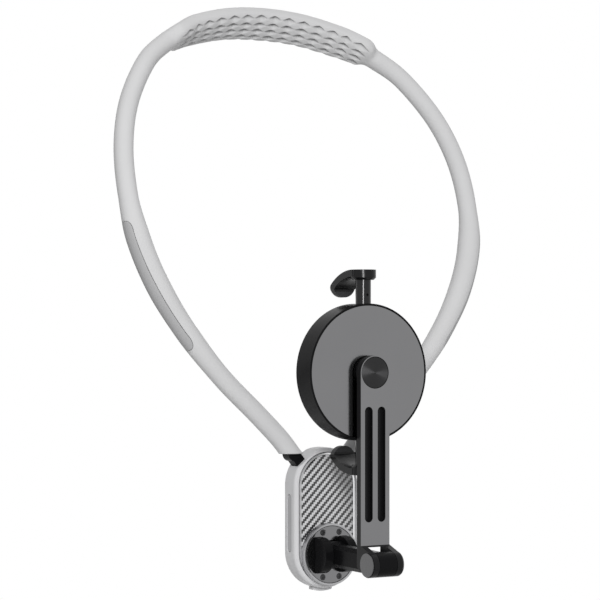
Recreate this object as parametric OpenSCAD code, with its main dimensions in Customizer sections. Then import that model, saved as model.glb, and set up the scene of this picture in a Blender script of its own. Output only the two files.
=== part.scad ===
// Neck phone holder: a neck ring with a pod at the chest, a swivel link and arm, and a magnetic disc
// with two claws. X runs to the viewer's right, Y towards the wearer and Z up. The parts are laid out
// from the turntable's axis on the pod's front plane, and the whole is then moved so that the origin
// is the middle of the nape pad's inner face.

/* [Neck ring] */
// Half width of the ring at its widest, to the middle of the tube
ring_half = 90.8; // [84:0.2:98]
// Height of the ring, from the tube's ends to the nape
ring_rise = 200.9; // [185:0.1:215]
// Depth of the ring, from the tube's ends to the nape
ring_reach = 54.5; // [45:0.5:65]
// Diameter of the tube
tube_d = 8.8; // [8.2:0.1:9.4]
// Diameter of the tube along the arm inlays
arm_d = 10.8; // [10:0.1:11.4]
// Width of the nape pad across its face
pad_across = 16.4; // [14.8:0.2:19]
// Thickness of the nape pad
pad_thick = 8.8; // [8.4:0.2:10.4]
// Diameter of the memory wire inside the ring
wire_d = 4; // [3:0.1:4.4]
// Thickness of the arm inlays
inlay_thick = 0.8; // [0.6:0.1:1.2]

/* [Pod] */
// Width of the pod
pod_w = 33.6; // [32.8:0.2:38]
// Height of the pod's top above the turntable's axis
pod_top = 48; // [47:0.1:54]
// Depth of the pod
pod_depth = 11.6; // [11.3:0.1:14]
// Height of the pod's lower round's centre above the turntable's axis
pod_foot = 1.2; // [1:0.1:2]
// Wall of the rear cover
wall = 1.8; // [1.6:0.1:2]
// Rounding of the cover's front edge
front_round = 1.9; // [1.2:0.1:2.2]
// Rounding of the cover's rear edge
rear_round = 3.2; // [2:0.1:3.6]
// Thickness of the front frame
frame_thick = 2.2; // [2:0.1:2.6]
// Width of the bright rim that shows around the carbon plate
rim_w = 0.9; // [0.7:0.1:1.4]
// Thickness of the carbon plate
carbon_thick = 1; // [0.8:0.1:1.2]

/* [Turntable and clevis] */
// Diameter of the turntable's plate
turntable_d = 25.6; // [25:0.1:26]
// Height that the turntable stands proud of the pod
turntable_proud = 3; // [2.8:0.1:3.6]
// Wall of the ring around the turntable
turntable_rim = 1.1; // [0.9:0.1:1.3]
// Radius of the clevis ears
ear_r = 8; // [7.4:0.1:8.2]
// Thickness of each clevis ear
ear_thick = 4.2; // [3.6:0.1:4.2]
// Gap between the clevis ears
ear_gap = 8.6; // [8:0.1:8.6]
// Distance of the clevis axis in front of the turntable's plate
clevis_out = 1.5; // [1.4:0.1:2]
// Diameter of the clevis pin
clevis_pin_d = 4; // [3:0.1:4.6]

/* [Link] */
// Distance between the clevis axis and the arm's hinge axis
link_len = 40.5; // [36:0.5:48]
// Drop of the arm's hinge axis below the clevis axis
link_drop = 0.7; // [0:0.1:2]
// Radius of the link's knuckle in the clevis
link_r = 6; // [5.6:0.1:6.1]
// Height of the link's bar
link_h = 10; // [8.4:0.1:10.2]
// Chamfer along the link's bar
link_chamfer = 1.8; // [0.8:0.1:2.4]

/* [Arm] */
// Width of the arm
arm_w = 14.9; // [14.6:0.1:16]
// Thickness of the arm
arm_t = 3.2; // [2.8:0.1:3.6]
// Distance from the arm's hinge axis to the disc's axis
arm_len = 83.2; // [80:0.2:95]
// Distance of the hinge axis in front of the arm's face
hinge_out = 5.45; // [5.2:0.05:6]
// Radius of the hinge knuckles
hinge_r = 5.5; // [5.2:0.1:5.8]
// Width of the link's knuckle in the arm's fork
fork_gap = 9.3; // [8.8:0.1:9.6]
// Diameter of the hinge pin
hinge_pin_d = 5; // [4:0.1:5.6]
// Width of each groove in the arm
groove_w = 4; // [3:0.1:4.2]
// Length of each groove
groove_len = 50.3; // [40:0.5:52]
// Depth of each groove
groove_deep = 2.2; // [1.6:0.1:2.4]
// Diameter of the pivot cap
cap_d = 13.8; // [12:0.1:14]

/* [Magnetic disc] */
// Diameter of the disc
disc_d = 60.4; // [58:0.2:64]
// Thickness of the disc
disc_t = 11.7; // [11.5:0.1:13]
// Gap between the arm and the disc
disc_gap = 1.8; // [1.4:0.1:2.4]
// Number of magnets in the ring
magnet_count = 18; // [12:1:24]
// Outer radius of the magnet ring
magnet_r = 27.5; // [27:0.1:27.8]
// Width of the magnet ring
magnet_w = 4.5; // [3:0.1:4.8]

/* [Claws] */
// Diameter of the claw posts
post_d = 6.8; // [6:0.1:6.8]
// Height of a claw's top above the disc's axis
claw_top = 45.1; // [44.5:0.1:50]
// Diameter of a claw's cap
claw_cap_d = 11.3; // [9.6:0.1:11.6]
// Width of a claw's tongue
claw_w = 11.6; // [10:0.1:12]
// Reach of a claw behind its post
claw_reach = 18.7; // [17.6:0.1:21]
// Drop of a claw's lip below its top
claw_drop = 12; // [11:0.1:13]
// Thickness of a claw
claw_t = 3; // [2.4:0.1:3.2]

/* [Buttons] */
// Length of each side button
side_len = 25.6; // [22:0.1:26]
// Width of each side button
side_w = 3.3; // [2.8:0.1:4]
// Width of the release button
release_w = 9.8; // [8:0.1:10]
// Depth of the release button along Y
release_d = 4; // [3:0.1:4]
// Height that the release button stands proud
release_proud = 1.5; // [1.2:0.1:2]

/* [Hidden] */
$fn = 64;

// Clearances: turn is for shafts, fit for pieces that seat or slide, axial for faces that pass
turn = 0.05;
fit = 0.1;
axial = 0.15;
// Width of the seams that are seen round the front frame and the side buttons
seam = 0.3;
// One overrun serves all cuts
over = 1;

// Places of the neck ring, from the middle of the nape pad down the right side to the pod:
// x, y and z are shares of ring_half, ring_reach and ring_rise, pad and arm are how far the section
// has turned into the pad's or the arm's, and the last three point from the tube to the neck
path_shares = [
    [0,     1,     1,     1,    0,    0,     -0.744, -0.669],
    [0.22,  0.974, 0.993, 1,    0,    -0.19, -0.68,  -0.7],
    [0.435, 0.912, 0.97,  1,    0,    -0.37, -0.6,   -0.71],
    [0.553, 0.833, 0.948, 0.95, 0,    -0.47, -0.42,  -0.77],
    [0.63,  0.809, 0.93,  0.12, 0,    -0.5,  -0.3,   -0.8],
    [0.766, 0.702, 0.881, 0,    0,    -0.62, -0.26,  -0.6],
    [0.909, 0.536, 0.785, 0,    0,    -0.85, -0.1,   -0.3],
    [0.984, 0.386, 0.682, 0,    0,    -0.96, 0.06,   -0.1],
    [1,     0.255, 0.573, 0,    0,    -1,    0.03,   0],
    [0.97,  0.16,  0.473, 0,    1,    -1,    0,      0],
    [0.886, 0.095, 0.373, 0,    1,    -0.97, 0.1,    0],
    [0.752, 0.05,  0.275, 0,    0.6,  -0.9,  0.15,   0],
    [0.566, 0.018, 0.174, 0,    0,    -0.8,  0.4,    0],
    [0.372, 0,     0.091, 0,    0,    -0.5,  0.8,    0],
    [0.245, 0,     0.036, 0,    0,    -0.2,  1,      0],
    [0.176, 0,     0,     0,    0,    0,     1,      0]];
root_y = 5.5;
root_drop = 2.5;
root_z = pod_top - root_drop;
span_steps = 4;
sleeve_sides = 20;
wire_sides = 8;
wire_gap = 0.15;
// The inlay's run, as shares of the right half's path, and its half width as an angle
inlay_share = [0.572, 0.753];
inlay_half_angle = 50;
inlay_end_angle = 10;
inlay_gap = 0.15;
// Stations near each end of an inlay, as shares of the path: the recess's wall, the inlay's end
// and the rounding, and how far the section takes to turn ready for it
wall_share = 0.0004;
start_share = 0.001;
round_share = 0.013;
turn_share = 0.03;

last_span = len(path_shares) - 1;
function place(row) = [row[0] * ring_half, root_y + row[1] * ring_reach, root_z + row[2] * ring_rise];
function inward(row) = [row[5], row[6], row[7]];
function mirrored(v, side) = [side * v[0], v[1], v[2]];
function row_at(i) = path_shares[abs(i)];
// A row's value with its side: left of the nape the index is negative
function side_of(i) = i < 0 ? -1 : 1;
function spline(a, b, c, d, t) =
    0.5 * (2 * b + (c - a) * t + (2 * a - 5 * b + 4 * c - d) * t * t + (3 * b - a - 3 * c + d) * t * t * t);
function slope(a, b, c, d, t) =
    0.5 * ((c - a) + 2 * (2 * a - 5 * b + 4 * c - d) * t + 3 * (3 * b - a - 3 * c + d) * t * t);
function point_at(i) = abs(i) > last_span
    ? 2 * mirrored(place(row_at(side_of(i) * last_span)), side_of(i))
        - mirrored(place(row_at(side_of(i) * (last_span - 1))), side_of(i))
    : mirrored(place(row_at(i)), side_of(i));
function lean_at(i) = mirrored(inward(row_at(min(abs(i), last_span))), side_of(i));
function pad_at(i) = row_at(min(abs(i), last_span))[3];
function arm_at(i) = row_at(min(abs(i), last_span))[4];
function unit(v) = v / norm(v);
function lerp(a, b, t) = a + (b - a) * t;
function ease(a, b, t) = lerp(a, b, t * t * (3 - 2 * t));

// A station of the ring at u, from -last_span on the left to last_span on the right:
// its centre, its direction, its inward normal, its width direction, its half sizes, its squareness
// and how far it has turned into the level cut at the arm's end
function clamp_u(u) = max(-last_span, min(last_span, u));
function span_of(u) = min(last_span - 1, floor(clamp_u(u)));
function station(u) =
    let (i = span_of(u), t = clamp_u(u) - i,
        p = spline(point_at(i - 1), point_at(i), point_at(i + 1), point_at(i + 2), t),
        raw = slope(point_at(i - 1), point_at(i), point_at(i + 1), point_at(i + 2), t),
        d = unit(raw),
        want = lerp(lean_at(i), lean_at(i + 1), t),
        n = unit(want - (want * d) * d),
        pad = ease(pad_at(i), pad_at(i + 1), t),
        arm = ease(arm_at(i), arm_at(i + 1), t))
    [p, d, n, cross(d, n),
        (tube_d + pad * (pad_across - tube_d) + arm * (arm_d - tube_d)) / 2,
        (tube_d + pad * (pad_thick - tube_d) + arm * (arm_d - tube_d)) / 2,
        2 + 0.9 * pad, max(0, abs(u) - last_span + 1)];
// Slides a point of a section along the tube, so that the last section lies level
function levelled(s, p) = s[7] > 0 ? p + s[7] * (s[0][2] - p[2]) / s[1][2] * s[1] : p;

// The half sizes of a rounded section at an angle from the inward normal
function section_r(s, angle) =
    pow(pow(abs(cos(angle)) / s[5], s[6]) + pow(abs(sin(angle)) / s[4], s[6]), -1 / s[6]);
function section_point(s, angle, inset) =
    let (r = section_r(s, angle) - inset)
    levelled(s, s[0] + r * cos(angle) * s[2] + r * sin(angle) * s[3]);

// Joins rings of points into a closed skin, outer rings first and then, for a tube, its inner rings
function skin_faces(rings, sides, start, flip) = [
    for (i = [0 : rings - 2], j = [0 : sides - 1])
        let (a = start + i * sides + j, b = start + i * sides + (j + 1) % sides, c = a + sides, e = b + sides)
        each (flip ? [[a, b, e], [a, e, c]] : [[a, e, b], [a, c, e]])];
function disc_faces(first, sides, flip) = [
    for (j = [1 : sides - 2]) flip ? [first, first + j + 1, first + j] : [first, first + j, first + j + 1]];

// Half angle of the inlay's recess at a share of the right half's path, rounded at both ends:
// the rest of the sleeve's section keeps the same points, so the angle turns back away from it
function inlay_angle(share) =
    let (deep = min(share - inlay_share[0], inlay_share[1] - share),
        e = min(1, deep < 0 ? -deep / turn_share : deep / round_share))
    inlay_end_angle + (inlay_half_angle - inlay_end_angle) * (deep < 0 ? e : sqrt(e * (2 - e)));
function recessed(share) = share > inlay_share[0] && share < inlay_share[1];
// The sleeve's stations on the right half, as shares of the path
end_stops = [-wall_share, wall_share, start_share, 0.2 * round_share, 0.45 * round_share,
    0.75 * round_share, round_share];
even_stops = [for (k = [0 : last_span * span_steps]) k / (last_span * span_steps)];
function clear_of(share, step) = len([for (e = end_stops)
    if (abs(share - inlay_share[0] - e) < step || abs(share - inlay_share[1] + e) < step) e]) == 0;
half_stops = concat(
    [for (share = even_stops) if (share < inlay_share[0] && clear_of(share, 0.003)) share],
    [for (e = end_stops) inlay_share[0] + e],
    [for (share = even_stops) if (recessed(share) && clear_of(share, 0.003)) share],
    [for (k = [len(end_stops) - 1 : -1 : 0]) inlay_share[1] - end_stops[k]],
    [for (share = even_stops) if (share > inlay_share[1] && clear_of(share, 0.003)) share]);
stops = concat([for (k = [len(half_stops) - 1 : -1 : 1]) -half_stops[k] * last_span],
    [for (share = half_stops) share * last_span]);

floor_sides = 6;
outer_sides = sleeve_sides - floor_sides;
// Angle of a point of the sleeve's section: the part outside the recess, then the recess's floor
function skin_angle(j, a, edge) = j < outer_sides
    ? 180 + a + j * (360 - 2 * a) / (outer_sides - 1)
    : 540 - a + edge + (j - outer_sides) * 2 * (a - edge) / (floor_sides - 1);
recess_edge = 0.4;
function sleeve_ring(u) =
    let (s = station(u), share = abs(u) / last_span, a = inlay_angle(share),
        edge = recessed(share) ? recess_edge : 2 * a / (floor_sides + 1))
    [for (j = [0 : sleeve_sides - 1]) section_point(s, skin_angle(j, a, edge),
        j >= outer_sides && recessed(share) ? inlay_thick + inlay_gap : 0)];
function wire_ring(u, r) =
    let (s = station(u))
    [for (j = [0 : wire_sides - 1])
        s[0] + r * cos(j * 360 / wire_sides) * s[2] + r * sin(j * 360 / wire_sides) * s[3]];
function hole_ring(u) = let (s = station(u)) [for (p = wire_ring(u, wire_d / 2 + wire_gap)) levelled(s, p)];

module sleeve_solid() {
    n = len(stops);
    inner = n * sleeve_sides;
    polyhedron(
        points = concat([for (u = stops) each sleeve_ring(u)], [for (u = stops) each hole_ring(u)]),
        faces = concat(
            skin_faces(n, sleeve_sides, 0, false),
            skin_faces(n, wire_sides, inner, true),
            end_faces(0, inner, false),
            end_faces((n - 1) * sleeve_sides, inner + (n - 1) * wire_sides, true)));
}
// Closes the sleeve's end between its skin's ring and its hole's ring
function end_faces(outer, inner, flip) =
    let (pairs = [for (j = [0 : sleeve_sides - 1])
        let (k = nearest(j), l = nearest(j + 1), b = outer + (j + 1) % sleeve_sides, c = inner + k % wire_sides)
        each concat([[outer + j, b, c]], k == l ? [] : [[b, inner + l % wire_sides, c]])])
    [for (f = pairs) flip ? [f[0], f[2], f[1]] : f];
function nearest(j) =
    let (angle = j == sleeve_sides ? skin_angle(0, inlay_half_angle, 0) + 360
        : skin_angle(j, inlay_half_angle, 2 * inlay_half_angle / (floor_sides + 1)))
    floor(angle * wire_sides / 360 + 0.5);

// Length of the wire's ends in the arm roots
wire_end = 1.2;
module wire_solid() {
    n = len(stops);
    first = [for (p = wire_ring(stops[0], wire_d / 2)) p - wire_end * station(stops[0])[1]];
    last = [for (p = wire_ring(stops[n - 1], wire_d / 2)) p + wire_end * station(stops[n - 1])[1]];
    polyhedron(
        points = concat(first, [for (u = stops) each wire_ring(u, wire_d / 2)], last),
        faces = concat(
            skin_faces(n + 2, wire_sides, 0, false),
            disc_faces(0, wire_sides, false),
            disc_faces((n + 1) * wire_sides, wire_sides, true)));
}

// An inlay: an outer skin flush with the sleeve and an inner skin above the recess's floor
inlay_cols = 8;
module inlay_solid(side) {
    shares = [for (share = half_stops)
        if (share > inlay_share[0] + 1.5 * wall_share && share < inlay_share[1] - 1.5 * wall_share) share];
    rings = [for (share = shares)
        let (s = station(side * share * last_span),
            a = inlay_angle(share) - inlay_gap * 180 / (PI * s[5]))
        concat(
            [for (j = [0 : inlay_cols])
                section_point(s, 180 - side * a + side * j * 2 * a / inlay_cols, 0)],
            [for (j = [inlay_cols : -1 : 0])
                section_point(s, 180 - side * a + side * j * 2 * a / inlay_cols, inlay_thick)])];
    ring_sides = 2 * (inlay_cols + 1);
    strip = function (first, flip) [for (j = [0 : inlay_cols - 1])
        let (a = first + j, b = first + j + 1, c = first + ring_sides - 2 - j, d = first + ring_sides - 1 - j)
        each (flip ? [[a, c, b], [a, d, c]] : [[a, b, c], [a, c, d]])];
    polyhedron(points = [for (ring = rings) each ring], faces = concat(
        skin_faces(len(rings), ring_sides, 0, false), strip(0, false),
        strip((len(rings) - 1) * ring_sides, true)));
}

// The middle of the nape pad's inner face is the origin
rest_n = unit(inward(path_shares[0]));
rest_point = place(path_shares[0]) + rest_n * pad_thick / 2;
module placed() translate(-rest_point) children();

// Y places, from the pod's front plane
plate_y = -turntable_proud;
clevis_y = plate_y - clevis_out;
hinge_y = clevis_y - link_len;
arm_front = hinge_y + hinge_out;
arm_back = arm_front + arm_t;
disc_front = arm_back + disc_gap;
disc_back = disc_front + disc_t;
// Z places, from the turntable's axis
hinge_z = -link_drop;
disc_z = hinge_z + arm_len;

module along_y(from, to) translate([0, to, 0]) rotate([90, 0, 0]) linear_extrude(height = to - from) children();
module rod_y(r, from, to) translate([0, to, 0]) rotate([90, 0, 0]) cylinder(r = r, h = to - from);
module rod_x(r, from, to) translate([from, 0, 0]) rotate([0, 90, 0]) cylinder(r = r, h = to - from);
module ring_y(r, bore, from, to) difference() {
    rod_y(r, from, to);
    rod_y(bore, from - over, to + over);
}

// The pod's outline, shrunk by a margin all round
pod_r = pod_w / 2;
pod_head = pod_top - pod_r;
module pod_outline(margin) {
    for (z = [pod_foot, pod_head]) translate([0, z]) circle(r = pod_r - margin);
    translate([margin - pod_r, pod_foot]) square([pod_w - 2 * margin, pod_head - pod_foot]);
}
// A half profile of a plate with rounded front and rear edges: x is the reach, y the depth
module edge_profile(reach, depth, front, rear) {
    translate([0, front]) square([reach, depth - front - rear]);
    square([reach - front, depth]);
    square([reach - rear, depth]);
    translate([reach - front, front]) circle(r = front);
    translate([reach - rear, depth - rear]) circle(r = rear);
}
module turned_edge(reach, depth, front, rear) rotate([-90, 0, 0]) rotate_extrude() intersection() {
    edge_profile(reach, depth, front, rear);
    square([reach, depth]);
}
// The pod's body from its front plane to its back, with both edges rounded
module pod_body(margin, depth, front, rear) {
    for (z = [pod_foot, pod_head]) translate([0, 0, z]) turned_edge(pod_r - margin, depth, front, rear);
    translate([0, 0, pod_foot]) linear_extrude(height = pod_head - pod_foot) {
        edge_profile(pod_r - margin, depth, front, rear);
        mirror([1, 0]) edge_profile(pod_r - margin, depth, front, rear);
    }
}

// Sizes of the front frame: it sits in an opening of the rear cover
frame_margin = front_round + seam;
opening_margin = front_round;
cover_lip = 0.3;
bore_r = 8.1;

// Arm root: a round knuckle under the sleeve's end and a tongue into the pod's shoulder, which is cut
// flat below the knuckle
end_x = path_shares[last_span][0] * ring_half;
end_step = place(path_shares[last_span - 1]) - place(path_shares[last_span]);
end_lean = atan2(end_step[0], end_step[2]);
knuckle_r = 3.4;
knuckle_x = end_x - 0.6;
knuckle_z = root_z - 0.1;
knuckle_half = 2.8;
tongue_w = 5;
tongue_d = 5.2;
tongue_len = 9.8;
tongue_in = 2;
tongue_lean = 39;
shoulder_gap = 1.7;
module shoulder_frame(s) translate([s * knuckle_x, root_y, knuckle_z]) rotate([0, s * tongue_lean, 0]) children();
module tongue(grow) translate([-tongue_w / 2 - grow, -tongue_d / 2 - grow, -knuckle_r - tongue_len + tongue_in])
    cube([tongue_w + 2 * grow, tongue_d + 2 * grow, tongue_len]);
// All that lies above the flat, lowered by a depth
module above_shoulder(s, depth) shoulder_frame(s)
    translate([-pod_r, -pod_depth, -knuckle_r - shoulder_gap - depth]) cube([pod_w, 2 * pod_depth, pod_r]);

// Screw bosses of the front frame
boss_r = 1.8;
boss_places = [[pod_r - 7.8, pod_head - 0.7], [3, 13]];
screw_r = 0.9;
screw_head_r = 1.7;
screw_head_h = 1;
boss_end = pod_depth - wall - 0.3;

// Side buttons
side_x = pod_r;
side_y = 5.65;
side_z = pod_foot + 0.1 + side_len / 2;
flange_grow = 0.9;
flange_t = 1;
side_travel = 1;
spring_r = 1.2;
rib_x = pod_r - 8.2;
rib_t = 0.9;
rib_w = 5;
module oblong_x(width, len, from, to) translate([from, side_y, side_z]) rotate([0, 90, 0])
    linear_extrude(height = to - from) {
        square([len - width, width], center = true);
        for (e = [-1, 1]) translate([e * (len - width) / 2, 0]) circle(d = width);
    }
// Release button
release_y = 6.2;
release_travel = 1.2;
release_spring_y = 7;
release_seat = pod_foot - (pod_r - wall - fit - flange_t);
rest_z = release_seat + 2.5;
retainer_r = 9.4;
retainer_y = 4.5;
retainer_t = 1.2;
module foot_sector(inner, outer, width, depth) translate([0, release_y - depth / 2, 0])
    along_y(0, depth) intersection() {
        translate([0, pod_foot]) difference() {
            circle(r = outer);
            circle(r = inner);
        }
        translate([-width / 2, pod_foot - outer - over]) square([width, outer - inner / 2]);
    }

module neck_sleeve() color("gainsboro") placed() sleeve_solid();
module neck_wire() color("darkgray") placed() wire_solid();
module arm_inlay(side) color("silver") placed() inlay_solid(side);
module arm_root(s) color("#202022") placed() difference() {
    intersection() {
        shoulder_frame(s) {
            rod_y(knuckle_r, -knuckle_half, knuckle_half);
            tongue(0);
        }
        translate([s * knuckle_x - 2 * knuckle_r, root_y - tube_d, root_z - 4 * knuckle_r - axial])
            cube([4 * knuckle_r, 2 * tube_d, 4 * knuckle_r]);
    }
    translate([s * end_x, root_y, root_z]) rotate([0, s * end_lean, 0]) translate([0, 0, -wire_end - axial])
        cylinder(r = wire_d / 2 + wire_gap, h = 2 * knuckle_r);
}
module rear_cover() color("gainsboro") placed() difference() {
    union() {
        difference() {
            translate([0, cover_lip, 0]) pod_body(0, pod_depth - cover_lip, front_round, rear_round);
            difference() {
                along_y(frame_thick, pod_depth - wall) pod_outline(wall);
                for (s = [-1, 1]) above_shoulder(s, wall);
            }
            along_y(-over, frame_thick + over) pod_outline(opening_margin);
        }
        for (s = [-1, 1]) translate([s * (rib_x + rib_t / 2) - rib_t / 2, side_y - 2, side_z - rib_w / 2])
            cube([rib_t, pod_depth - wall / 2 - side_y + 2, rib_w]);
        translate([-rib_w / 2, retainer_y + retainer_t + fit, rest_z])
            cube([rib_w, pod_depth - wall / 2 - retainer_y - retainer_t - fit, rib_t]);
    }
    for (s = [-1, 1]) {
        shoulder_frame(s) tongue(fit);
        above_shoulder(s, 0);
        oblong_x(side_w + 2 * seam, side_len + 2 * seam, s > 0 ? side_x - wall - over : -side_x - over,
            s > 0 ? side_x + over : over + wall - side_x);
        for (b = boss_places) translate([s * b[0], 0, b[1]]) {
            rod_y(screw_r + fit, boss_end, pod_depth + over);
            rod_y(screw_head_r + fit, pod_depth - screw_head_h, pod_depth + over);
        }
    }
    foot_sector(pod_r - wall - over, pod_r + over, release_w + 2 * axial, release_d + 2 * axial);
}
module front_frame() color("white") placed() difference() {
    union() {
        pod_body(frame_margin, frame_thick, 0.5, 0.1);
        for (s = [-1, 1], b = boss_places) translate([s * b[0], 0, b[1]])
            rod_y(boss_r, frame_thick - over, boss_end);
    }
    along_y(-over, carbon_thick + fit) pod_outline(frame_margin + rim_w);
    rod_y(bore_r, -over, frame_thick + over);
    for (s = [-1, 1], b = boss_places) translate([s * b[0], 0, b[1]])
        rod_y(screw_r - turn, frame_thick + over, boss_end + over);
}
module carbon_plate() color("#3a3c40") placed() difference() {
    along_y(fit, carbon_thick + fit) pod_outline(frame_margin + rim_w + fit);
    rod_y(spigot_r + fit, -over, frame_thick);
}
spigot_r = 9.9;
module cover_screws() color("silver") placed()
    for (s = [-1, 1], b = boss_places) translate([s * b[0], 0, b[1]]) {
        rod_y(screw_r - 2 * turn, frame_thick + over + fit, pod_depth - screw_head_h + over / 2);
        rod_y(screw_head_r, pod_depth - screw_head_h, pod_depth - screw_head_h + 0.7);
    }

// Turntable
disc_y = plate_y + 0.9;
rotor_t = 1;
plate_r = turntable_d / 2;
module turntable_ring() color("white") placed() difference() {
    union() {
        rod_y(plate_r + fit + turntable_rim, plate_y - 0.2, 0);
        rod_y(spigot_r, -over / 2, carbon_thick + fit);
    }
    rod_y(plate_r + fit, plate_y - over, disc_y + rotor_t + axial);
    rod_y(bore_r, -over * 2, frame_thick);
}
screw_spot = [4.3, 10];
head_r = 1.3;
head_t = 0.5;
shank_r = 0.7;
module at_screws() for (x = [-1, 1], z = [-1, 1]) translate([x * screw_spot[0], 0, z * screw_spot[1]]) children();
ear_in = ear_gap / 2;
ear_out = ear_in + ear_thick;
module ear_window(grow) for (s = [-1, 1]) translate([s * (ear_in + ear_out) / 2, 0, 0])
    cube([ear_thick + 2 * grow, 4 * turntable_proud, 2 * ear_r + 2 * grow], center = true);
module knuckle_room() translate([0, clevis_y, 0]) rod_x(link_r + 0.35, -ear_in, ear_in);
module turntable_plate() color("#77797c") placed() difference() {
    rod_y(plate_r, plate_y, disc_y);
    ear_window(fit);
    translate([-ear_in - fit - over / 2, plate_y - over, -link_r - 0.4])
        cube([2 * ear_in + 2 * fit + over, 4 * over, 2 * link_r + 0.8]);
    at_screws() rod_y(head_r + turn, plate_y - over, plate_y + head_t);
    at_screws() rod_y(shank_r + turn, plate_y - over, disc_y + over);
}
cross_w = 0.4;
cross_deep = 0.3;
module turntable_screws() color("#55575a") placed() at_screws() difference() {
    union() {
        rod_y(head_r, plate_y - turn, plate_y + head_t);
        rod_y(shank_r, plate_y, disc_y + rotor_t - fit);
    }
    for (a = [0, 90]) rotate([0, a, 0]) translate([-0.7 * head_r, plate_y - over, -cross_w / 2])
        cube([1.4 * head_r, over + cross_deep, cross_w]);
}
hub_r = 8;
module clevis() color("#1a1a1c") placed() difference() {
    union() {
        rod_y(plate_r, disc_y, disc_y + rotor_t);
        rod_y(hub_r, disc_y, retainer_y);
        for (s = [-1, 1]) translate([s > 0 ? ear_in : -ear_out, clevis_y, 0]) {
            intersection() {
                rod_x(ear_r, 0, ear_thick);
                translate([0, -ear_r, -ear_r]) cube([ear_thick, ear_r + over, 2 * ear_r]);
            }
            translate([0, 0, -ear_r]) cube([ear_thick, disc_y - clevis_y + rotor_t / 2, 2 * ear_r]);
        }
    }
    knuckle_room();
    translate([0, clevis_y, 0]) rod_x(clevis_pin_d / 2 + turn, -ear_out - over, ear_out + over);
    at_screws() rod_y(shank_r + turn, disc_y - over, disc_y + rotor_t + over);
}
module turntable_retainer() color("silver") placed() {
    rod_y(retainer_r, retainer_y, retainer_y + retainer_t);
}
module friction_washer() color("tan") placed()
    ring_y(retainer_r, hub_r + axial, frame_thick + turn, retainer_y - turn);
module clevis_pin() color("silver") placed() translate([0, clevis_y, 0])
    rod_x(clevis_pin_d / 2, axial - ear_out, ear_out - axial);
washer_t = 0.35;
washer_r = 4.6;
module clevis_washers() color("tan") placed() translate([0, clevis_y, 0]) for (s = [-1, 1]) difference() {
    rod_x(washer_r, s > 0 ? ear_in - turn - washer_t : turn - ear_in, s > 0 ? ear_in - turn : turn + washer_t - ear_in);
    rod_x(clevis_pin_d / 2 + fit, -ear_out, ear_out);
}

// Link
link_w = ear_gap - 2 * (washer_t + 2 * turn);
// The bar starts and ends inside its knuckles, off their axes
bar_start = 2.6;
bar_stop = 1.8;
fork_in = fork_gap / 2;
module swivel_link() color("#1a1a1c") placed() difference() {
    union() {
        translate([0, clevis_y, 0]) rod_x(link_r, -link_w / 2, link_w / 2);
        translate([0, hinge_y, hinge_z]) rod_x(hinge_r, axial - fork_in, fork_in - axial);
        translate([0, clevis_y, 0]) rotate([90 + atan2(link_drop, link_len), 0, 0])
            translate([0, 0, bar_start]) linear_extrude(height = link_len - bar_start - bar_stop) polygon([
                for (c = [[1, 1], [-1, 1], [-1, -1], [1, -1]], k = [0, 1])
                    let (first = (k == 0) == (c[0] * c[1] > 0))
                    [c[0] * (link_w / 2 - (first ? 0 : link_chamfer)),
                        c[1] * (link_h / 2 - (first ? link_chamfer : 0))]]);
    }
    translate([0, clevis_y, 0]) rod_x(clevis_pin_d / 2 + turn, -link_w, link_w);
    translate([0, hinge_y, hinge_z]) rod_x(hinge_pin_d / 2 + turn, -fork_gap, fork_gap);
}

// Arm
arm_foot = 7.9;
arm_tangent = -1.5;
slot_top = 7.3;
module leg_profile() {
    circle(r = hinge_r);
    back = hinge_out + arm_t;
    low = acos(hinge_r / norm([back, arm_tangent]));
    base = atan2(arm_tangent, back);
    touch = base - low;
    high = acos(hinge_r / norm([hinge_out, arm_foot]));
    top = atan2(arm_foot, hinge_out) + high;
    polygon([[0, 0], hinge_r * [cos(touch), sin(touch)], [back, arm_tangent], [back, arm_foot],
        [hinge_out, arm_foot], hinge_r * [cos(top), sin(top)]]);
}
groove_x = 3.3;
groove_foot = 17.3;
module arm() color("#26262a") placed() difference() {
    union() {
        translate([-arm_w / 2, hinge_y, hinge_z]) rotate([90, 0, 90])
            linear_extrude(height = arm_w) leg_profile();
        translate([-arm_w / 2, arm_front, hinge_z + arm_foot - over])
            cube([arm_w, arm_t, arm_len - arm_foot + over]);
        translate([0, 0, disc_z]) rod_y(arm_w / 2, arm_front, arm_back);
    }
    translate([-fork_in, hinge_y - hinge_r - over, hinge_z - hinge_r - over])
        cube([fork_gap, hinge_r + hinge_out + arm_t + 2 * over, hinge_r + slot_top + over]);
    translate([0, hinge_y, hinge_z]) rod_x(hinge_pin_d / 2 + turn, -arm_w, arm_w);
    translate([0, 0, disc_z]) rod_y(spindle_r + turn, arm_front - over, arm_back + over);
    translate([0, 0, disc_z]) rod_y(cap_d / 2 + fit, arm_front - over, arm_front + cap_t + axial);
    for (s = [-1, 1]) translate([s * groove_x, 0, 0]) along_y(arm_front - over, arm_front + groove_deep) {
        translate([-groove_w / 2, groove_foot + groove_w / 2]) square([groove_w, groove_len - groove_w]);
        for (z = [groove_foot + groove_w / 2, groove_foot + groove_len - groove_w / 2])
            translate([0, z]) circle(d = groove_w);
    }
}
pin_head_r = 5.2;
pin_head_t = 0.6;
module arm_hinge_pin() color("#4a4b4e") placed() translate([0, hinge_y, hinge_z]) {
    rod_x(hinge_pin_d / 2, -arm_w / 2 - over / 2, arm_w / 2 + over / 2);
    rod_x(pin_head_r, -arm_w / 2 - pin_head_t, -arm_w / 2);
    rod_x(pin_head_r, arm_w / 2, arm_w / 2 + pin_head_t);
}
spindle_r = 3;
module pivot_spacer() color("#1a1a1c") placed() translate([0, 0, disc_z])
    ring_y(arm_w / 2 - 0.4, spindle_r + fit, arm_back, disc_front - axial);
cap_t = 1.1;
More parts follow.
